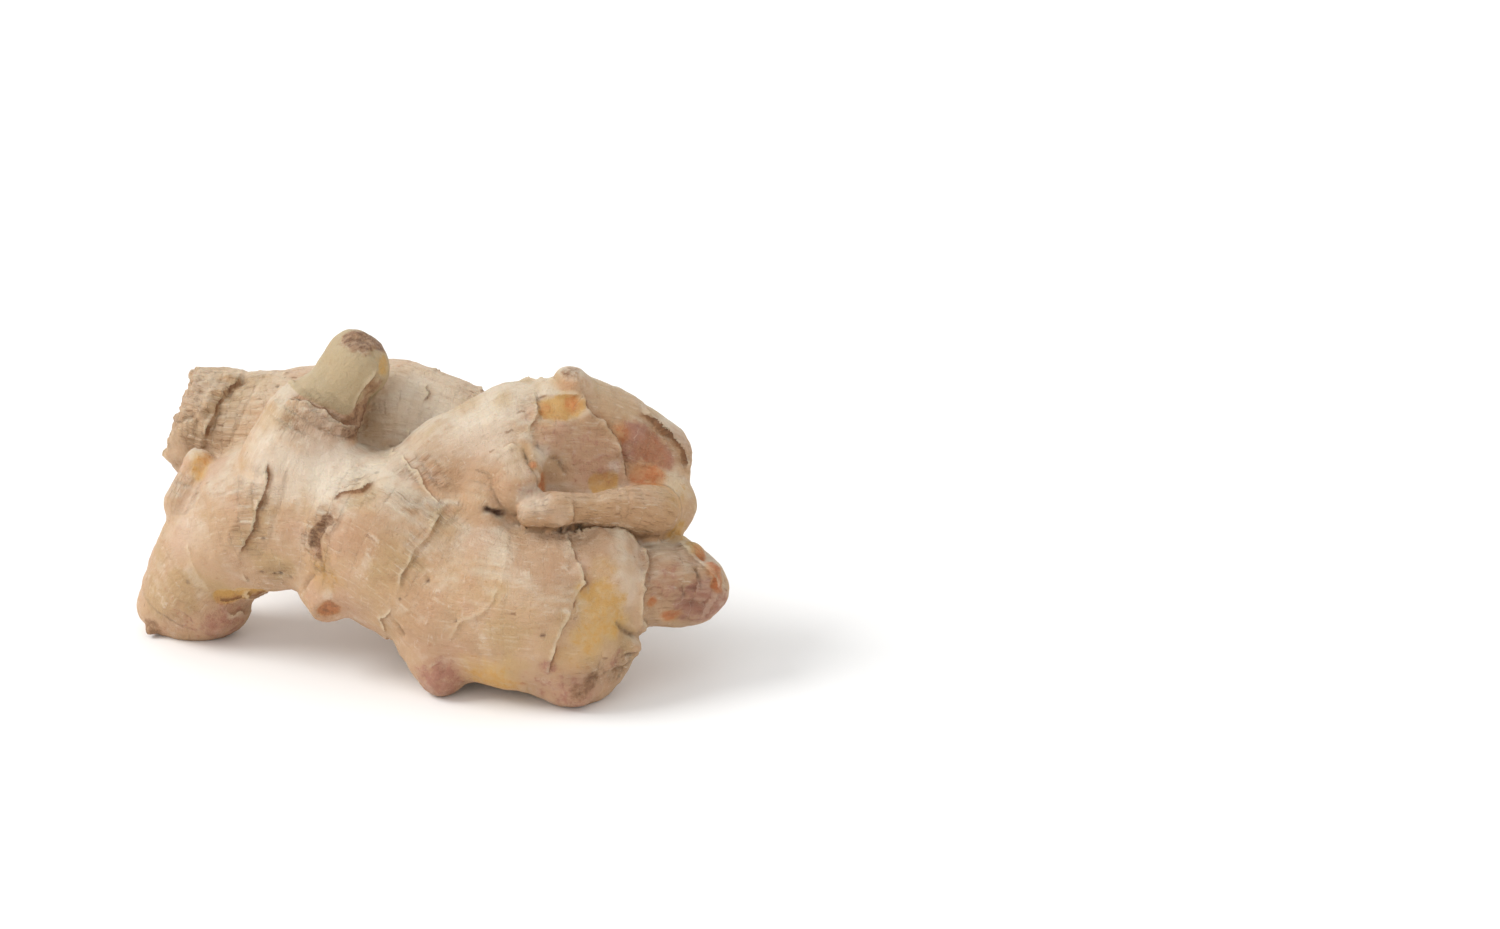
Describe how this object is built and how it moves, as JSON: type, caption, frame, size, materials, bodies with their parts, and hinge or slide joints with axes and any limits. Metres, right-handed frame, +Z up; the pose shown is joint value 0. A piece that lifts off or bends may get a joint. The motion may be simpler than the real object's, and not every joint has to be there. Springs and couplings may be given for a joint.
{
  "type": "ginger root",
  "caption": "Fresh ginger rhizome lying on a surface: swollen fingers with leaf-scar rings, buds, a dry shoot stump and a torn older end.",
  "frame": {"origin": "on the table, under the middle of the rhizome's box", "axes": "+X along the rhizome's length, from the leg and the torn end of the mother finger to the short end finger; +Y towards the mother finger at the back; +Z up"},
  "size_m": [0.1349, 0.0837, 0.0725],
  "materials": {
    "ginger_skin": "thin, dry, finely wrinkled corky skin, matt with a faint sheen"
  },
  "bodies": {
    "root": {"rhizome": "ginger_skin"}
  },
  "joints": []
}
